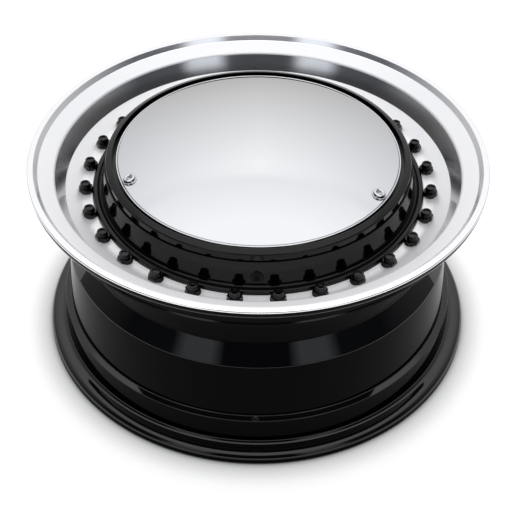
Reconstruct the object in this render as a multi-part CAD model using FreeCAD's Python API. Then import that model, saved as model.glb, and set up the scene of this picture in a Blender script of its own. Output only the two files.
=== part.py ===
"""A 17 inch two-piece car wheel: turned rim, cast centre, studs and a screwed-on dome.

The wheel lies face up on its rear flange. The axis is Z, and the origin is the
middle of the rear flange, on the surface that it rests on. All sizes are in mm.
"""
import FreeCAD
import Part

import math
import os

Vector = FreeCAD.Vector

# Tyre seats and flanges
seat_rise = 30.0
rim_width = 190.5
flange_width = 12.6
flange_height = 17.5
flange_curl = 9.5
edge_break = 2.0
seat_width = 20.5
seat_taper = 5.0
hump_height = 1.4
hump_width = 2.6
rear_seat_width = 30.0

# Dished lip, from the outer edge inwards
land_width = 4.5
groove_width = 3.8
groove_depth = 5.4
dish_width = 18.3
dish_drop = 6.8
brow_radius = 10.0
lip_wall_lean = 18.5
shelf_depth = 40.2
shelf_fillet = 8.5
shelf_thickness = 11.8

# Barrel between the seats
shelf_reach = 9.1
well_wall = 6.0
well_start = 61.0
well_length = 28.4
slope_length = 18.2
slope_rise = 15.4
barrel_flare = 5.8
barrel_wall = 5.6
rear_dish_width = 7.8
rear_dish_rise = 9.0

# Valve hole in the lip fillet
valve_radius = 5.75
valve_face_radius = 9.0
valve_tilt = 45.0
valve_angle = -90.0

# Cast centre
centre_radius = 173.0
centre_fit = 0.2
shoulder_height = 4.2
shoulder_width = 8.5
shoulder_bevel = 2.0
cove_depth = 3.0
centre_wall_lean = 11.0
step_depth = 9.6
step_width = 1.6
ring_depth = 7.6
ring_width = 6.9
cover_gap = 3.5
ledge_depth = 10.2
ledge_width = 5.0
centre_flange_thickness = 8.0
centre_flange_gap = 1.3
back_groove_wall = 7.0
back_groove_roof = 14.0
back_groove_draft = 3.0
web_thickness = 12.0

# Hub seat
wheel_offset = 35.0
hub_pad_radius = 76.0
hub_pad_cone = 12.0
hub_bore_radius = 33.3
lug_count = 5
lug_circle = 112.0
lug_radius = 7.25
lug_seat_radius = 10.5
lug_pocket_radius = 13.5
lug_pocket_depth = 9.0
lug_seat_angle = 60.0

# Studs on the shelf
stud_count = 28
stud_inset = 6.8
stud_corner_radius = 7.6
stud_nut_height = 6.9
stud_cap_radius = 4.7
stud_cap_height = 3.4
stud_shank_radius = 3.0
stud_shank_length = 7.0
stud_fit = 0.1

# Dome cover and its screws
dome_rise = 19.0
dome_thickness = 1.5
dome_edge_height = 6.0
cover_screw_inset = 9.6
cover_screw_middle = -94.3
cover_screw_spread = 125.0
screw_radius = 2.5
screw_length = 15.0
screw_flange_radius = 6.4
screw_flange_height = 1.3
screw_head_radius = 4.7
screw_head_height = 3.4
screw_socket_radius = 2.5
screw_socket_depth = 2.2
screw_fit = 0.15
post_radius = 7.5
post_gap = 0.1

# Places worked out from the sizes above
rim_bore = centre_radius + centre_fit
well_inner_radius = rim_bore + shelf_reach
well_radius = well_inner_radius + well_wall
barrel_radius = well_radius + slope_rise
bead_radius = well_radius + seat_rise
flange_radius = bead_radius + flange_height
lip_top = rim_width + 2 * flange_width
shelf_z = lip_top - shelf_depth
shelf_back_z = shelf_z - shelf_thickness
well_front_z = lip_top - well_start
well_rear_z = well_front_z - well_length
barrel_front_z = well_rear_z - slope_length
hub_pad_z = lip_top / 2 + wheel_offset
centre_back_z = shelf_back_z - centre_flange_thickness
web_front_z = centre_back_z + web_thickness
wall_foot_radius = centre_radius - shoulder_width
wall_foot_z = shelf_z + shoulder_height - cove_depth
step_z = lip_top - step_depth
wall_top_radius = wall_foot_radius - (step_z - wall_foot_z) * math.tan(math.radians(centre_wall_lean))
ring_z = lip_top - ring_depth
ring_outer_radius = wall_top_radius - step_width
ring_inner_radius = ring_outer_radius - ring_width
dome_radius = ring_inner_radius - cover_gap
ledge_z = lip_top - ledge_depth
bowl_radius = dome_radius - ledge_width
dome_edge_z = ledge_z + dome_edge_height
dome_sphere = (dome_radius ** 2 + dome_rise ** 2) / (2 * dome_rise)
dome_centre_z = dome_edge_z + dome_rise - dome_sphere
stud_circle_radius = rim_bore + stud_inset
stud_first_angle = valve_angle + 180.0 / stud_count
cover_screw_circle = dome_radius - cover_screw_inset


def turned(start, *moves):
    """Solid of revolution of a closed (radius, z) outline.

    Each move is an end point for a straight run, or a (through, end) pair for an arc.
    """
    edges = []
    here = Vector(start[0], 0, start[1])
    for move in moves + (start,):
        if isinstance(move[0], tuple):
            through, end = (Vector(p[0], 0, p[1]) for p in move)
            edges.append(Part.Arc(here, through, end).toShape())
        else:
            end = Vector(move[0], 0, move[1])
            edges.append(Part.LineSegment(here, end).toShape())
        here = end
    face = Part.Face(Part.Wire(edges))
    return face.revolve(Vector(0, 0, 0), Vector(0, 0, 1), 360)


def quarter(centre, radius, degrees):
    """The point of a circle in the (radius, z) plane at an angle from +radius."""
    angle = math.radians(degrees)
    return centre[0] + radius * math.cos(angle), centre[1] + radius * math.sin(angle)


def fillet(before, corner, after, radius):
    """First point, middle and last point of the arc that rounds a corner."""
    corner_v = Vector(corner[0], corner[1], 0)
    to_before = (Vector(before[0], before[1], 0) - corner_v).normalize()
    to_after = (Vector(after[0], after[1], 0) - corner_v).normalize()
    half = to_before.getAngle(to_after) / 2
    first = corner_v + to_before * (radius / math.tan(half))
    last = corner_v + to_after * (radius / math.tan(half))
    bisector = (to_before + to_after).normalize()
    middle = corner_v + bisector * (radius / math.sin(half) - radius)
    return tuple((p.x, p.y) for p in (first, middle, last))


def around(shape, count, first_angle=0.0):
    """Copies of a shape, evenly turned about the wheel's axis."""
    copies = []
    for index in range(count):
        copy = shape.copy()
        copy.rotate(Vector(0, 0, 0), Vector(0, 0, 1), first_angle + index * 360.0 / count)
        copies.append(copy)
    return Part.makeCompound(copies)


def screw_pair(shape):
    """Two copies of a shape, one to each side of the cover screws' middle angle."""
    copies = []
    for side in (-0.5, 0.5):
        copy = shape.copy()
        copy.rotate(Vector(0, 0, 0), Vector(0, 0, 1), cover_screw_middle + side * cover_screw_spread)
        copies.append(copy)
    return Part.makeCompound(copies)


def hexagon_prism(corner_radius, z, height):
    """Upright six-sided prism on the axis, with a flat towards +X."""
    corners = []
    for index in range(6):
        angle = math.radians(60 * index + 30)
        corners.append(Vector(corner_radius * math.cos(angle), corner_radius * math.sin(angle), z))
    face = Part.Face(Part.makePolygon(corners + corners[:1]))
    return face.extrude(Vector(0, 0, height))


def lip_fillet():
    """The wall foot of the lip: arc points, and the corner that the arc rounds."""
    wall_top = (flange_radius - edge_break - land_width - groove_width - dish_width,
                lip_top - groove_depth - dish_drop)
    foot_radius = wall_top[0] - (wall_top[1] - shelf_z) * math.tan(math.radians(lip_wall_lean))
    corner = (foot_radius, shelf_z)
    return wall_top, fillet(wall_top, corner, (rim_bore, shelf_z), shelf_fillet), corner


def seat_end(width):
    """Radius of a tyre seat at its inner end."""
    return bead_radius - width * math.tan(math.radians(seat_taper))


def valve_tool(radius, start, length):
    """Round cutter along the valve's axis, from a distance below the lip's fillet."""
    wall_top, arc, corner = lip_fillet()
    tilt = math.radians(valve_tilt)
    inward = Vector(-math.sin(tilt), 0, math.cos(tilt))
    mouth = Vector(arc[1][0], 0, arc[1][1])
    tool = Part.makeCylinder(radius, length, mouth + inward * start, inward)
    tool.rotate(Vector(0, 0, 0), Vector(0, 0, 1), valve_angle)
    return tool


def make_rim():
    """Lip, shelf, drop well, barrel and both flanges, turned as one piece."""
    land_outer = flange_radius - edge_break
    land_inner = land_outer - land_width
    dish_outer = land_inner - groove_width
    wall_top, arc, corner = lip_fillet()
    brow = fillet((dish_outer, lip_top - groove_depth), wall_top, arc[0], brow_radius)
    front_curl = (flange_radius - flange_curl, lip_top - flange_width + flange_curl)
    rear_curl = (flange_radius - flange_curl, flange_width - flange_curl)
    front_seat_z = lip_top - flange_width
    hump_z = front_seat_z - seat_width
    hump_radius = seat_end(seat_width) + hump_height
    rear_step_z = flange_width + rear_seat_width
    barrel_rear_radius = barrel_radius + barrel_flare
    rear_step_radius = seat_end(rear_seat_width)
    rear_bore = rear_step_radius - barrel_wall
    rim = turned(
        (land_outer, lip_top),
        (land_inner, lip_top),
        (dish_outer, lip_top - groove_depth),
        brow[0],
        (brow[1], brow[2]),
        arc[0],
        (arc[1], arc[2]),
        (rim_bore, shelf_z),
        (rim_bore, shelf_back_z),
        (well_inner_radius, shelf_back_z),
        (well_inner_radius, well_rear_z),
        (barrel_radius - barrel_wall, barrel_front_z),
        (barrel_rear_radius - barrel_wall, rear_step_z),
        (rear_bore, rear_step_z - barrel_wall),
        (rear_bore, rear_dish_rise),
        (flange_radius - flange_curl + rear_dish_width - flange_curl, 0),
        (land_outer, 0),
        (flange_radius, edge_break),
        (flange_radius, rear_curl[1]),
        (quarter(rear_curl, flange_curl, 45), quarter(rear_curl, flange_curl, 90)),
        (bead_radius, flange_width),
        (rear_step_radius, rear_step_z),
        (barrel_rear_radius, rear_step_z),
        (barrel_radius, barrel_front_z),
        (well_radius, well_rear_z),
        (well_radius, well_front_z),
        (hump_radius, hump_z - hump_height - hump_width),
        (hump_radius, hump_z - hump_height),
        (seat_end(seat_width), hump_z),
        (bead_radius, front_seat_z),
        (front_curl[0], front_seat_z),
        (quarter(front_curl, flange_curl, -45), quarter(front_curl, flange_curl, 0)),
        (flange_radius, lip_top - edge_break),
    )
    reach = flange_radius - rim_bore
    rim = rim.cut(valve_tool(valve_radius, -reach, 2 * reach))
    rim = rim.cut(valve_tool(valve_face_radius, 0, reach))
    hole = Part.makeCylinder(stud_shank_radius + stud_fit, stud_shank_length + stud_fit,
                             Vector(stud_circle_radius, 0, shelf_z), Vector(0, 0, -1))
    return rim.cut(around(hole, stud_count, stud_first_angle))


def screw_place():
    """Seat of a cover screw on the dome, and the direction that it points."""
    lean = math.asin(cover_screw_circle / dome_sphere)
    out = Vector(math.sin(lean), 0, math.cos(lean))
    return Vector(0, 0, dome_centre_z) + out * dome_sphere, out


def cover_post():
    """Leaning post that carries one cover screw, with its threaded hole."""
    seat, out = screw_place()
    top = seat - out * (dome_thickness + post_gap)
    length = (top.z - centre_back_z - web_thickness / 2) / out.z
    post = Part.makeCylinder(post_radius, length, top, out * -1)
    hole = Part.makeCylinder(screw_radius + screw_fit, screw_length, top, out * -1)
    return post, hole


def lug_tool():
    """Cutter of one lug hole: plain bore, cone seat and round pocket."""
    lug_x = lug_circle / 2
    pocket_z = web_front_z - lug_pocket_depth
    cone_height = (lug_seat_radius - lug_radius) / math.tan(math.radians(lug_seat_angle / 2))
    bore = Part.makeCylinder(lug_radius, web_front_z - hub_pad_z, Vector(lug_x, 0, hub_pad_z))
    cone = Part.makeCone(lug_radius, lug_seat_radius, cone_height, Vector(lug_x, 0, pocket_z - cone_height))
    pocket = Part.makeCylinder(lug_pocket_radius, lug_pocket_depth, Vector(lug_x, 0, pocket_z))
    return bore.fuse(cone).fuse(pocket)


def make_centre_disc():
    """Cast centre: flange behind the shelf, raised ring, web and hub seat."""
    flange_edge = well_inner_radius - centre_flange_gap
    shoulder_z = shelf_z + shoulder_height
    crest_radius = wall_foot_radius + cove_depth
    groove_inner = bowl_radius + back_groove_wall
    groove_outer = wall_foot_radius - back_groove_wall
    groove_roof_z = ring_z - back_groove_roof
    disc = turned(
        (ring_outer_radius, ring_z),
        (ring_inner_radius, ring_z),
        (ring_inner_radius, ledge_z),
        (bowl_radius, ledge_z),
        (bowl_radius, web_front_z),
        (hub_bore_radius, web_front_z),
        (hub_bore_radius, hub_pad_z),
        (hub_pad_radius, hub_pad_z),
        (hub_pad_radius + hub_pad_cone, centre_back_z),
        (groove_inner, centre_back_z),
        (groove_inner + back_groove_draft / 3, groove_roof_z),
        (groove_outer - back_groove_draft, groove_roof_z),
        (groove_outer, centre_back_z),
        (flange_edge, centre_back_z),
        (flange_edge, shelf_back_z),
        (centre_radius, shelf_back_z),
        (centre_radius, shoulder_z - shoulder_bevel),
        (centre_radius - shoulder_bevel, shoulder_z),
        (crest_radius, shoulder_z),
        (wall_foot_radius, wall_foot_z),
        (wall_top_radius, step_z),
        (ring_outer_radius, step_z),
    )
    post, hole = cover_post()
    disc = disc.fuse(screw_pair(post))
    disc = disc.cut(screw_pair(hole))
    return disc.cut(around(lug_tool(), lug_count, 90))


def make_stud():
    """One stud: six-sided nut, round cap and a plain shank in the shelf."""
    nut = hexagon_prism(stud_corner_radius, shelf_z, stud_nut_height)
    cap = Part.makeCylinder(stud_cap_radius, stud_cap_height, Vector(0, 0, shelf_z + stud_nut_height))
    shank = Part.makeCylinder(stud_shank_radius, stud_shank_length, Vector(0, 0, shelf_z), Vector(0, 0, -1))
    stud = nut.fuse([cap, shank]).removeSplitter()
    stud.translate(Vector(stud_circle_radius, 0, 0))
    return stud


def dome_body(radius, sphere_radius):
    """Round block on the ledge under a ball whose poles lie level, clear of the dome."""
    ball = Part.makeSphere(sphere_radius, Vector(0, 0, dome_centre_z), Vector(1, 0, 0))
    block = Part.makeCylinder(radius, 2 * (dome_edge_height + dome_rise), Vector(0, 0, ledge_z))
    return ball.common(block)


def make_dome_cover():
    """Thin domed cover on the ledge, with a short upright edge and screw holes."""
    dome = dome_body(dome_radius, dome_sphere).cut(dome_body(dome_radius - dome_thickness,
                                                             dome_sphere - dome_thickness))
    seat, out = screw_place()
    hole = Part.makeCylinder(screw_radius + screw_fit, 4 * dome_thickness, seat + out * dome_thickness, out * -1)
    return dome.cut(screw_pair(hole))


def make_cover_screw():
    """One flanged button screw, square to the dome, with a six-sided socket."""
    shank_length = screw_length + dome_thickness - screw_radius
    shank = Part.makeCylinder(screw_radius, shank_length, Vector(0, 0, 0), Vector(0, 0, -1))
    flange = Part.makeCylinder(screw_flange_radius, screw_flange_height)
    head = Part.makeCone(screw_head_radius, screw_socket_radius * 1.4, screw_head_height - screw_flange_height,
                         Vector(0, 0, screw_flange_height))
    socket = hexagon_prism(screw_socket_radius, screw_head_height - screw_socket_depth, screw_socket_depth)
    screw = shank.fuse([flange, head]).cut(socket)
    seat, out = screw_place()
    lean = math.degrees(math.asin(cover_screw_circle / dome_sphere))
    screw.rotate(Vector(0, 0, 0), Vector(0, 1, 0), lean)
    screw.translate(seat)
    return screw


os.makedirs("parts", exist_ok=True)
make_rim().exportStep("parts/rim.step")
make_centre_disc().exportStep("parts/centre_disc.step")
around(make_stud(), stud_count, stud_first_angle).exportStep("parts/shelf_studs.step")
make_dome_cover().exportStep("parts/dome_cover.step")
screw_pair(make_cover_screw()).exportStep("parts/cover_screws.step")
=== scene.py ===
import math

import bpy
import numpy as np
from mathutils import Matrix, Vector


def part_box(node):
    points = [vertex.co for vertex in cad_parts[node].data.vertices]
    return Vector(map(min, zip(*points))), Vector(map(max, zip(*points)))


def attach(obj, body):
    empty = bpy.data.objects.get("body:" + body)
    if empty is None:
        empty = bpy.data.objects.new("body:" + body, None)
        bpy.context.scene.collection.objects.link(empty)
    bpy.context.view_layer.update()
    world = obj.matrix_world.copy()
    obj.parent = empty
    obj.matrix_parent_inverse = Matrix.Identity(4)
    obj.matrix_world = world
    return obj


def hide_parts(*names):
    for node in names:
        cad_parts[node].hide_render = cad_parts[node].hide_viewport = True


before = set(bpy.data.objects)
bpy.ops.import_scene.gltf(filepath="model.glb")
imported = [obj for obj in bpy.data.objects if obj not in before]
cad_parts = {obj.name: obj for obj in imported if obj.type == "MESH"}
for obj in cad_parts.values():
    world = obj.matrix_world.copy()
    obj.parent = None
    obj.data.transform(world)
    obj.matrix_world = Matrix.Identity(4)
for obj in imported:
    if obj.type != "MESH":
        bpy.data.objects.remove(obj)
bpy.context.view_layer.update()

# Sizes in millimetres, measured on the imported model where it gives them
MM = 0.001
LIP_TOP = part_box("rim")[1].z / MM
FLANGE_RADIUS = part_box("rim")[1].x / MM
DOME_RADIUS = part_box("dome_cover")[1].x / MM
DOME_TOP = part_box("dome_cover")[1].z / MM
RING_DEPTH = LIP_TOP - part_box("centre_disc")[1].z / MM

FLANGE_WIDTH = 12.6
BEAD_RADIUS = 218.3
SHELF_DEPTH = 40.2
RIM_BORE = 173.2
RING_OUTER = 157.2
RING_INNER = 150.3
LEDGE_DEPTH = 10.2
DOME_EDGE_DEPTH = 4.2
HUB_PAD_DEPTH = 72.85
LUG_COUNT = 5
LUG_CIRCLE_RADIUS = 56.0
LUG_RADIUS = 7.25
VALVE_PLACE = (196.7, 38.6)
VALVE_RADIUS = 5.75
VALVE_FACE_RADIUS = 9.0
STUD_COUNT = 28
STUD_CIRCLE = 180.0
SCREW_CIRCLE = DOME_RADIUS - 9.6
SCREW_ANGLES = (-158.3, -30.3)
TURN_STEPS = 384
BLEND_STEPS = 6
# Radii between which the lip is polished: its wall, its groove and its outer corner
POLISHED_BANDS = ((200.4, 209.1), (225.2, 229.1), (234.3, 240.0))
# Outside this radius all of the centre has the wall's less glossy lacquer copy, a painted shade
CENTRE_WALL_START = 160.0

# Camera in metres, degrees and millimetres of lens, fitted to the outlines of both flanges
CAMERA_PLACE = (0.00283, -0.8736, 0.8582)
CAMERA_PITCH = 42.34
CAMERA_ROLL = 0.695
CAMERA_LENS = 72.6


# Shapes worked out as arrays

def rounded(corners, steps=BLEND_STEPS):
    """Closed polyline through (radius, depth, round) corners, each corner blended.

    The blend touches both runs at round / tan(half angle) from the corner, and its points
    are the quadratic curve between the two touching points with the corner as its middle.
    """
    points = np.array([c[:2] for c in corners], float)
    rounds = np.array([c[2] for c in corners], float)
    before = np.roll(points, 1, axis=0) - points
    after = np.roll(points, -1, axis=0) - points
    before /= np.linalg.norm(before, axis=1, keepdims=True)
    after /= np.linalg.norm(after, axis=1, keepdims=True)
    half = np.arccos(np.clip((before * after).sum(1), -1, 1)) / 2
    reach = (rounds / np.tan(half))[:, None, None]
    t = np.linspace(0, 1, steps)[None, :, None]
    first = points[:, None] + before[:, None] * reach
    last = points[:, None] + after[:, None] * reach
    blend = (1 - t) ** 2 * first + 2 * t * (1 - t) * points[:, None] + t ** 2 * last
    keep = np.where(rounds[:, None] > 0, True, np.arange(steps)[None] == 0)
    return blend[keep]


def section(corners):
    """Rounded outline with its depth below the lip turned into height."""
    line = rounded(corners)
    return np.stack([line[:, 0], LIP_TOP - line[:, 1]], 1)


def steep(line):
    """Which runs of an outline go mostly up or down: their rise is over 2.5 times their reach."""
    run = np.abs(np.roll(line, -1, axis=0) - line)
    return run[:, 1] > 2.5 * run[:, 0]


def swept_rows(radius, height, steps):
    """Rows of points round the Z axis: (radius cos a, radius sin a, height) at each angle a.

    The radius may change with the angle. Faces join each row to the next.
    """
    angle = np.linspace(0, 2 * np.pi, steps, endpoint=False)
    radius = np.broadcast_to(radius, (len(height), steps))
    z = np.broadcast_to(np.reshape(height, (-1, 1)), radius.shape)
    vertices = np.stack([radius * np.cos(angle), radius * np.sin(angle), z], -1).reshape(-1, 3)
    row = np.arange(len(height))[:, None] * steps
    next_row = np.roll(row, -1, axis=0)
    here = np.arange(steps)[None]
    ahead = np.roll(here, -1, axis=1)
    faces = np.stack([row + here, row + ahead, next_row + ahead, next_row + here], -1)
    return vertices, faces.reshape(-1, 4)


def turned_skin(outline, steps=TURN_STEPS):
    """Ring-shaped skin: a closed (radius, z) outline carried round the axis."""
    vertices, faces = swept_rows(outline[:, :1], outline[:, 1], steps)
    return vertices, [faces]


def closed_skin(radius, height, top, foot, steps):
    """Skin of rows from a lower pole up to an upper pole, with a fan of triangles at both."""
    vertices, faces = swept_rows(radius, height, steps)
    here = np.arange(steps)
    ahead = np.roll(here, -1)
    last, pole = len(vertices) - steps, len(vertices)
    foot_fan = np.stack([ahead, here, np.full(steps, pole)], -1)
    top_fan = np.stack([last + here, last + ahead, np.full(steps, pole + 1)], -1)
    poles = np.array([[0, 0, foot], [0, 0, top]], float)
    return np.concatenate([vertices, poles]), [faces[:-steps], foot_fan, top_fan]


def six_sided(rows, flat, steps):
    """Radius of each row and angle: a flagged row is cut to a hexagon.

    A hexagon's radius at an angle is flat / cos(angle from the nearest flat's middle).
    """
    angle = np.linspace(0, 2 * np.pi, steps, endpoint=False)
    from_flat = np.mod(angle + np.pi / 6, np.pi / 3) - np.pi / 6
    hexagon = np.minimum(rows[:, :1], flat / np.cos(from_flat))
    return np.where(rows[:, 2:] > 0, hexagon, rows[:, :1])


def placed(vertices, lean, out, height, angles):
    """Copies of a shape: leaned about Y, moved out and up, and turned to each angle about Z."""
    lean, turn = np.radians(lean), np.radians(angles)[:, None]
    x = vertices[:, 0] * np.cos(lean) + vertices[:, 2] * np.sin(lean) + out
    z = vertices[:, 2] * np.cos(lean) - vertices[:, 0] * np.sin(lean) + height
    y = vertices[:, 1]
    copies = [x * np.cos(turn) - y * np.sin(turn), x * np.sin(turn) + y * np.cos(turn), z + 0 * turn]
    return np.stack(copies, -1).reshape(-1, 3)


def repeated(faces, points, count):
    """The faces of a shape with this many points, again for each of its copies."""
    shift = (np.arange(count) * points)[:, None, None]
    return [(part[None] + shift).reshape(-1, part.shape[1]) for part in faces]


def mesh_piece(name, vertices, faces, materials, face_material=None, sharp=30.0):
    """Mesh object from arrays in millimetres, smooth but for edges over an angle."""
    mesh = bpy.data.meshes.new(name)
    mesh.from_pydata((vertices * MM).tolist(), [], sum((part.tolist() for part in faces), []))
    for material in materials:
        mesh.materials.append(material)
    if face_material is not None:
        mesh.polygons.foreach_set("material_index", face_material.astype(np.int32))
    piece = bpy.data.objects.new(name, mesh)
    bpy.context.scene.collection.objects.link(piece)
    finish_edges(piece, sharp)
    return piece


def finish_edges(piece, sharp):
    """Smooth shading that breaks at edges over the given angle."""
    piece.data.validate()
    piece.data.shade_smooth()
    piece.data.set_sharp_from_angle(angle=math.radians(sharp))


def round_cutter(radius, low, high, steps=64):
    """Closed cylinder about Z between two heights."""
    return closed_skin(np.full((2, 1), float(radius)), np.array([low, high], float), high, low, steps)


def cut_away(piece, vertices, faces, sharp=30.0):
    """Takes a closed shape out of a piece, and keeps what is left as the piece's mesh."""
    tool = mesh_piece("cutter", vertices, faces, [])
    cut = piece.modifiers.new("cut", "BOOLEAN")
    cut.operation = "DIFFERENCE"
    cut.solver = "EXACT"
    cut.object = tool
    whole = piece.data
    left = bpy.data.meshes.new_from_object(piece.evaluated_get(bpy.context.evaluated_depsgraph_get()))
    piece.modifiers.clear()
    piece.data = left
    left.name = piece.name
    bpy.data.meshes.remove(whole)
    bpy.data.objects.remove(tool)
    finish_edges(piece, sharp)


def hand_over(piece, cad_node):
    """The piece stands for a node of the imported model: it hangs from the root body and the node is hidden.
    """
    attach(piece, "root")
    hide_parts(cad_node)


# Materials

def linear(hex_colour):
    """sRGB hex to a linear RGBA colour."""
    channels = np.array([int(hex_colour[i:i + 2], 16) for i in (1, 3, 5)]) / 255
    low, high = channels / 12.92, ((channels + 0.055) / 1.055) ** 2.4
    return (*np.where(channels <= 0.04045, low, high), 1.0)


def node(tree, kind, settings=None, inputs=None, stops=()):
    """Adds a node with its settings and colour stops, and sets or links its inputs."""
    made = tree.nodes.new(kind)
    for key, value in (settings or {}).items():
        setattr(made, key, value)
    for key, value in (inputs or {}).items():
        if isinstance(value, bpy.types.NodeSocket):
            tree.links.new(value, made.inputs[key])
        else:
            made.inputs[key].default_value = value
    for index, (position, colour) in enumerate(stops):
        elements = made.color_ramp.elements
        stop = elements[index] if index < 2 else elements.new(position)
        stop.position, stop.color = position, linear(colour)
    return made


def new_material(name):
    """Empty node material with its Principled shader."""
    material = bpy.data.materials.new(name)
    material.use_nodes = True
    return material, material.node_tree, material.node_tree.nodes["Principled BSDF"]


def turned_aluminium(name, smooth, coarse, stretch, metal):
    """Aluminium cut on a lathe: fine rings smear each reflection.

    It is drawn out across the rings and stays sharp along them. A metal share under one
    leaves part of the light scattered, as a satin cut does.
    """
    material, tree, shader = new_material(name)
    place = node(tree, "ShaderNodeTexCoord")
    radius = node(tree, "ShaderNodeVectorMath", {"operation": "LENGTH"}, {0: place.outputs["Object"]})
    # Tool marks are 0.1 mm apart in life, and are drawn at 0.9 mm so that they show
    marks = node(tree, "ShaderNodeTexNoise", {"noise_dimensions": "1D"},
                 {"W": radius.outputs["Value"], "Scale": 1 / (0.9 * MM), "Detail": 3.0, "Roughness": 0.7})
    bump = node(tree, "ShaderNodeBump", None,
                {"Strength": 0.06, "Distance": 0.02 * MM, "Height": marks.outputs["Fac"]})
    rough = node(tree, "ShaderNodeMapRange", None,
                 {"Value": marks.outputs["Fac"], "To Min": smooth, "To Max": coarse})
    tangent = node(tree, "ShaderNodeTangent", {"direction_type": "RADIAL", "axis": "Z"})
    shader.inputs["Base Color"].default_value = linear("#eeeeef")
    shader.inputs["Metallic"].default_value = metal
    shader.inputs["Anisotropic"].default_value = stretch
    shader.inputs["Anisotropic Rotation"].default_value = 0.25
    tree.links.new(rough.outputs["Result"], shader.inputs["Roughness"])
    tree.links.new(bump.outputs["Normal"], shader.inputs["Normal"])
    tree.links.new(tangent.outputs["Tangent"], shader.inputs["Tangent"])
    return material


def black_lacquer(name, hex_colour, roughness, specular):
    """Gloss black lacquer on metal: a near-black body under clear gloss with faint orange peel."""
    material, tree, shader = new_material(name)
    place = node(tree, "ShaderNodeTexCoord")
    # Orange peel in sprayed lacquer has waves about 3 mm long
    peel = node(tree, "ShaderNodeTexNoise", None,
                {"Vector": place.outputs["Object"], "Scale": 1 / (3.0 * MM), "Detail": 1.0})
    bump = node(tree, "ShaderNodeBump", None,
                {"Strength": 0.02, "Distance": 0.02 * MM, "Height": peel.outputs["Fac"]})
    dust = node(tree, "ShaderNodeMapRange", None,
                {"Value": peel.outputs["Fac"], "To Min": roughness * 0.7, "To Max": roughness * 1.3})
    shader.inputs["Base Color"].default_value = linear(hex_colour)
    shader.inputs["IOR"].default_value = 1.5
    shader.inputs["Specular IOR Level"].default_value = specular
    tree.links.new(dust.outputs["Result"], shader.inputs["Roughness"])
    tree.links.new(bump.outputs["Normal"], shader.inputs["Normal"])
    return material


def mirror_chrome(name, hex_colour, roughness):
    """Bright chrome plate: a near-perfect mirror with a trace of wipe haze."""
    material, tree, shader = new_material(name)
    place = node(tree, "ShaderNodeTexCoord")
    # Wipe marks are a few fingers wide, about 60 mm
    haze = node(tree, "ShaderNodeTexNoise", None,
                {"Vector": place.outputs["Object"], "Scale": 1 / (60.0 * MM), "Detail": 2.0})
    rough = node(tree, "ShaderNodeMapRange", None,
                 {"Value": haze.outputs["Fac"], "To Min": roughness * 0.6, "To Max": roughness * 1.4})
    shader.inputs["Base Color"].default_value = linear(hex_colour)
    shader.inputs["Metallic"].default_value = 1.0
    tree.links.new(rough.outputs["Result"], shader.inputs["Roughness"])
    return material


# Faces of the lip and shelf are bright without a clear image, and the polished bands mirror
FACE_ALUMINIUM = turned_aluminium("satin_turned_aluminium", 0.36, 0.44, 0.6, 0.5)
WALL_ALUMINIUM = turned_aluminium("polished_aluminium", 0.14, 0.20, 0.85, 1.0)
# Copies of one black lacquer: the barrel's steep runs shine least, a painted shade, and the flanges' edges
# most
PAINTED_SHADE_BARREL_LACQUER = black_lacquer("black_lacquer_barrel_painted_shade", "#020203", 0.05, 0.03)
BLACK_FLANGE = black_lacquer("black_lacquered_flange", "#020203", 0.04, 0.45)
# The centre's wall has a darker, less glossy copy than its ring, a painted shade
PAINTED_SHADE_WALL_LACQUER = black_lacquer("black_lacquer_wall_painted_shade", "#020203", 0.05, 0.2)
BLACK_RING = black_lacquer("black_lacquered_ring", "#030304", 0.05, 0.24)
BLACK_STUD = black_lacquer("black_plated_studs", "#030304", 0.07, 0.28)
# The dome mirrors the room clearly, and its screws in a soft blur
CHROME = mirror_chrome("chrome_plate", "#c4c5c7", 0.02)
SCREW_STEEL = mirror_chrome("bright_steel_screw", "#c4c5c7", 0.10)


# The wheel's pieces

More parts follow.
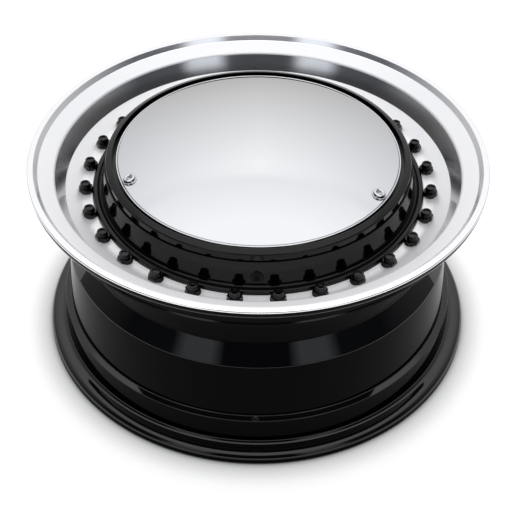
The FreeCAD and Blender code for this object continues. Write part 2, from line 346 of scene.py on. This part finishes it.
def rim_piece():
    """The rim's section turned about the axis: bright lip, black flanges and barrel.

    Behind the lip, steep runs have a less glossy copy of the lacquer, a painted shade, and the others the
    flanges' lacquer.
    """
    lip = [(FLANGE_RADIUS, 1.9, 0), (FLANGE_RADIUS, 0, 1.8), (229.3, 0, 0.9), (225.5, 5.4, 2.2),
           (209.6, 12.4, 5.0), (200.3, 31.2, 1.5), (183.0, SHELF_DEPTH, 16.0),
           (RIM_BORE, SHELF_DEPTH, 0.4)]
    inside = [(RIM_BORE, 52.0, 0.6), (182.3, 52.0, 1.5), (182.3, 91.0, 6.0), (198.1, 107.6, 8.0),
              (203.9, 173.0, 6.0), (210.1, 178.7, 6.0), (210.1, 206.7, 3.0), (224.6, LIP_TOP, 2.5)]
    rear = [(FLANGE_RADIUS, LIP_TOP, 2.5), (FLANGE_RADIUS, LIP_TOP - FLANGE_WIDTH, 9.4),
            (BEAD_RADIUS, LIP_TOP - FLANGE_WIDTH, 5.5), (215.7, 173.1, 0.8), (209.5, 171.5, 1.0)]
    barrel = [(203.7, 107.6, 5.0), (188.3, 89.4, 4.0), (188.3, 61.0, 5.0)]
    front = [(217.9, 36.9, 1.2), (217.9, 34.4, 1.0), (216.5, 33.0, 1.2), (BEAD_RADIUS, FLANGE_WIDTH, 5.5),
             (FLANGE_RADIUS, FLANGE_WIDTH, 9.4)]
    outline = lip + inside + rear + barrel + front
    line = section(outline)
    vertices, faces = turned_skin(line)
    radius = line[:, 0]
    behind = np.arange(len(line)) >= sum(BLEND_STEPS if corner[2] else 1 for corner in lip)
    polished = np.any([(radius > low) & (radius < high) for low, high in POLISHED_BANDS], axis=0)
    # Steep runs behind the lip take the less glossy lacquer copy, a painted shade
    row_paint = np.select([behind & steep(line), behind, polished], [2, 3, 1], 0)
    paints = [FACE_ALUMINIUM, WALL_ALUMINIUM, PAINTED_SHADE_BARREL_LACQUER, BLACK_FLANGE]
    piece = mesh_piece("wheel_rim", vertices, faces, paints, np.repeat(row_paint, TURN_STEPS))
    out, depth = VALVE_PLACE
    for cutter_radius, low, high in ((VALVE_RADIUS, -22, 22), (VALVE_FACE_RADIUS, 0, 22)):
        points, sides = round_cutter(cutter_radius, low, high)
        cut_away(piece, placed(points, -45, out, LIP_TOP - depth, [-90]), sides)
    hand_over(piece, "rim")


def centre_piece():
    """The black centre's section turned about the axis, with its lug holes cut."""
    ring = [(RING_OUTER, RING_DEPTH + 2.8, 1.8), (RING_INNER, RING_DEPTH, 0.7),
            (RING_INNER, LEDGE_DEPTH, 0.2), (141.8, LEDGE_DEPTH, 0.5), (141.8, 48.0, 3.0)]
    hub = [(33.3, 48.0, 1.0), (33.3, HUB_PAD_DEPTH, 1.0), (76.0, HUB_PAD_DEPTH, 1.5), (88.0, 60.0, 4.0)]
    back = [(148.8, 60.0, 1.5), (149.8, 21.6, 2.2), (154.5, 21.6, 2.2), (157.5, 60.0, 1.5),
            (181.0, 60.0, 1.0), (181.0, 52.0, 0.5), (173.0, 52.0, 0)]
    wall = [(173.0, 36.0, 2.4), (168.2, 36.0, 1.6), (164.5, 39.0, 2.2), (158.8, 12.2, 0.5),
            (158.2, 12.2, 0.2), (158.0, 13.8, 0.3), (RING_OUTER, 13.8, 0.2)]
    line = section(ring + hub + back + wall)
    vertices, faces = turned_skin(line)
    # Steep and outer runs of the centre take the wall's less glossy copy, a painted shade
    row_paint = np.where(steep(line) | (line[:, 0] > CENTRE_WALL_START), 1, 0)
    piece = mesh_piece("wheel_centre", vertices, faces, [BLACK_RING, PAINTED_SHADE_WALL_LACQUER],
                       np.repeat(row_paint, TURN_STEPS))
    points, sides = round_cutter(LUG_RADIUS, LIP_TOP - HUB_PAD_DEPTH - 5, LIP_TOP - 40)
    angles = 90 + np.arange(LUG_COUNT) * 360 / LUG_COUNT
    cut_away(piece, placed(points, 0, LUG_CIRCLE_RADIUS, 0, angles),
             repeated(sides, len(points), LUG_COUNT))
    hand_over(piece, "centre_disc")


def dome_ball():
    """Radius of the dome's ball: (edge radius squared + rise squared) / twice the rise."""
    rise = DOME_TOP - (LIP_TOP - DOME_EDGE_DEPTH)
    return (DOME_RADIUS ** 2 + rise ** 2) / (2 * rise)


def dome_height(radius):
    """Height of the dome at a radius: a ball cap through the dome's edge and its top."""
    ball = dome_ball()
    return DOME_TOP - ball + np.sqrt(ball ** 2 - radius ** 2)


def dome_piece():
    """Ball cap inside and out, with a crease and a rolled bead along its edge.

    The bead is a half circle of 1.1 mm in the section, and the crease lies inside it.
    """
    bead, wall = 1.1, 1.5
    radius = np.linspace(1.5, DOME_RADIUS - 2.6, 60)
    turn = np.linspace(0, np.pi, 9)
    bead_middle = DOME_RADIUS - bead, LIP_TOP - DOME_EDGE_DEPTH - 0.5
    edge = np.stack([bead_middle[0] + bead * np.cos(turn), bead_middle[1] + bead * np.sin(turn)], 1)
    inside = np.stack([radius, dome_height(radius) - wall], 1)
    foot = [[DOME_RADIUS - wall, LIP_TOP - LEDGE_DEPTH], [DOME_RADIUS, LIP_TOP - LEDGE_DEPTH]]
    outside = np.stack([radius, dome_height(radius)], 1)[::-1]
    rows = np.concatenate([inside, foot, edge, outside])
    vertices, faces = closed_skin(rows[:, :1], rows[:, 1], DOME_TOP, DOME_TOP - wall, TURN_STEPS)
    piece = mesh_piece("dome_cover_skin", vertices, faces, [CHROME], None, 40.0)
    hand_over(piece, "dome_cover")


def stud_pieces():
    """Studs as rows of (radius, height, six-sided or not), each turned to its place on the shelf."""
    rows = np.array([(7.8, 0.0, 0), (7.8, 0.7, 0), (7.8, 1.1, 1), (7.8, 4.2, 1), (6.9, 5.1, 1),
                     (5.6, 5.1, 0), (5.3, 5.5, 0), (5.3, 9.1, 0), (4.9, 10.0, 0), (4.1, 10.3, 0),
                     (3.2, 10.2, 0), (2.7, 9.0, 0)])
    vertices, faces = closed_skin(six_sided(rows, 6.7, 48), rows[:, 1], 8.8, 0.0, 48)
    angles = -90 + (np.arange(STUD_COUNT) + 0.5) * 360 / STUD_COUNT
    piece = mesh_piece("shelf_stud_heads", placed(vertices, 0, STUD_CIRCLE, LIP_TOP - SHELF_DEPTH, angles),
                       repeated(faces, len(vertices), STUD_COUNT), [BLACK_STUD], None, 28.0)
    hand_over(piece, "shelf_studs")


def screw_pieces():
    """Flanged button screws with a six-sided socket, square to the dome at their places."""
    rows = np.array([(7.4, -0.4, 0), (7.4, 0.8, 0), (7.1, 1.1, 0), (6.5, 1.2, 0), (6.3, 1.5, 0),
                     (6.2, 2.5, 0), (5.8, 3.4, 0), (4.9, 3.9, 0), (3.9, 3.9, 0), (3.4, 3.6, 0),
                     (3.3, 3.3, 1), (3.3, 1.4, 1)])
    vertices, faces = closed_skin(six_sided(rows, 2.8, 48), rows[:, 1], 1.4, -0.4, 48)
    lean = math.degrees(math.asin(SCREW_CIRCLE / dome_ball()))
    points = placed(vertices, lean, SCREW_CIRCLE, dome_height(SCREW_CIRCLE), SCREW_ANGLES)
    piece = mesh_piece("cover_screw_heads", points,
                       repeated(faces, len(vertices), len(SCREW_ANGLES)), [SCREW_STEEL], None, 28.0)
    hand_over(piece, "cover_screws")


rim_piece()
centre_piece()
dome_piece()
stud_pieces()
screw_pieces()


# Studio

def white_paper():
    """Matt white paper. The camera and mirrors see it white, less the shade close to the wheel."""
    material, tree, shader = new_material("matt_white_paper")
    shader.inputs["Base Color"].default_value = linear("#a4a4a4")
    shader.inputs["Roughness"].default_value = 0.9
    shader.inputs["Specular IOR Level"].default_value = 0.0
    path = node(tree, "ShaderNodeLightPath")
    seen = node(tree, "ShaderNodeMath", {"operation": "MAXIMUM"},
                {0: path.outputs["Is Camera Ray"], 1: path.outputs["Is Glossy Ray"]})
    seen = node(tree, "ShaderNodeMath", {"operation": "MAXIMUM"},
                {0: seen.outputs[0], 1: path.outputs["Is Transmission Ray"]})
    # Painted shadow: occlusion within 48 mm dims the paper's glow near the wheel; its diffuse part keeps the
    # real shadow
    shade = node(tree, "ShaderNodeAmbientOcclusion", {"samples": 16}, {"Distance": 48 * MM})
    depth = node(tree, "ShaderNodeMath", {"operation": "POWER"}, {0: shade.outputs["AO"], 1: 3.0})
    level = node(tree, "ShaderNodeMath", {"operation": "MULTIPLY"}, {0: depth.outputs[0], 1: seen.outputs[0]})
    tree.links.new(level.outputs[0], shader.inputs["Emission Strength"])
    shader.inputs["Emission Color"].default_value = linear("#e7e7e7")
    return material


def studio_floor():
    """Large square sheet just under the wheel."""
    half = 60000.0
    corners = np.array([(-half, -half, -0.4), (half, -half, -0.4), (half, half, -0.4), (-half, half, -0.4)])
    mesh_piece("studio_floor", corners, [np.array([[0, 1, 2, 3]])], [white_paper()])


def studio_world():
    """Plain soft studio by direction: a broad light overhead, pale behind and dark in front.

    Elevation gives the shade of walls and overhead light, which meet at half height. The
    angle round the room dims the walls, the same on both sides, with a soft box at each
    front corner.
    """
    world = bpy.data.worlds.new("studio_light")
    bpy.context.scene.world = world
    world.use_nodes = True
    tree = world.node_tree
    place = node(tree, "ShaderNodeTexCoord")
    part = node(tree, "ShaderNodeSeparateXYZ", None, {0: place.outputs["Generated"]})
    rise = node(tree, "ShaderNodeMath", {"operation": "ARCSINE"}, {0: part.outputs["Z"]})
    rise = node(tree, "ShaderNodeMath", {"operation": "DIVIDE"}, {0: rise.outputs[0], 1: math.pi / 2})
    angle = node(tree, "ShaderNodeMath", {"operation": "ARCTAN2"},
                 {0: part.outputs["X"], 1: part.outputs["Y"]})
    aside = node(tree, "ShaderNodeMath", {"operation": "ABSOLUTE"}, {0: angle.outputs[0]})
    aside = node(tree, "ShaderNodeMath", {"operation": "DIVIDE"}, {0: aside.outputs[0], 1: math.pi})
    wall = node(tree, "ShaderNodeValToRGB", None, {"Fac": rise.outputs[0]},
                [(0.0, "#b0aeac"), (0.5, "#ffffff")])
    overhead = node(tree, "ShaderNodeValToRGB", None, {"Fac": rise.outputs[0]},
                    [(0.5, "#e4e5e8"), (0.7, "#fbfbfc")])
    round_wall = node(tree, "ShaderNodeValToRGB", None, {"Fac": aside.outputs[0]},
                      [(0.0, "#f8f8f8"), (1.0, "#34363c"), (0.2, "#e0e1e4"), (0.6, "#44474c"),
                       (0.74, "#44474c"), (0.78, "#c8ccd4"), (0.86, "#c8ccd4"), (0.90, "#34363c")])
    wall = node(tree, "ShaderNodeMix", {"data_type": "RGBA", "blend_type": "MULTIPLY"},
                {0: 1.0, 6: wall.outputs["Color"], 7: round_wall.outputs["Color"]})
    edge = node(tree, "ShaderNodeMapRange", {"interpolation_type": "SMOOTHSTEP"},
                {"Value": rise.outputs[0], "From Min": 0.53, "From Max": 0.57})
    light = node(tree, "ShaderNodeMix", {"data_type": "RGBA"},
                 {0: edge.outputs["Result"], 6: wall.outputs[2], 7: overhead.outputs["Color"]})
    background = tree.nodes["Background"]
    tree.links.new(light.outputs[2], background.inputs["Color"])
    background.inputs["Strength"].default_value = 1.7


def photo_camera():
    """Camera at the photograph's place, fitted to the outlines of both flanges."""
    data = bpy.data.cameras.new("photo_camera")
    data.sensor_width = 36.0
    data.lens = CAMERA_LENS
    camera = bpy.data.objects.new("photo_camera", data)
    camera.rotation_mode = "XYZ"
    camera.location = CAMERA_PLACE
    camera.rotation_euler = (math.radians(90 - CAMERA_PITCH), 0, 0)
    camera.rotation_euler.rotate_axis("Z", math.radians(CAMERA_ROLL))
    bpy.context.scene.collection.objects.link(camera)
    bpy.context.scene.camera = camera


studio_floor()
studio_world()
photo_camera()
bpy.context.scene.view_settings.view_transform = "Standard"
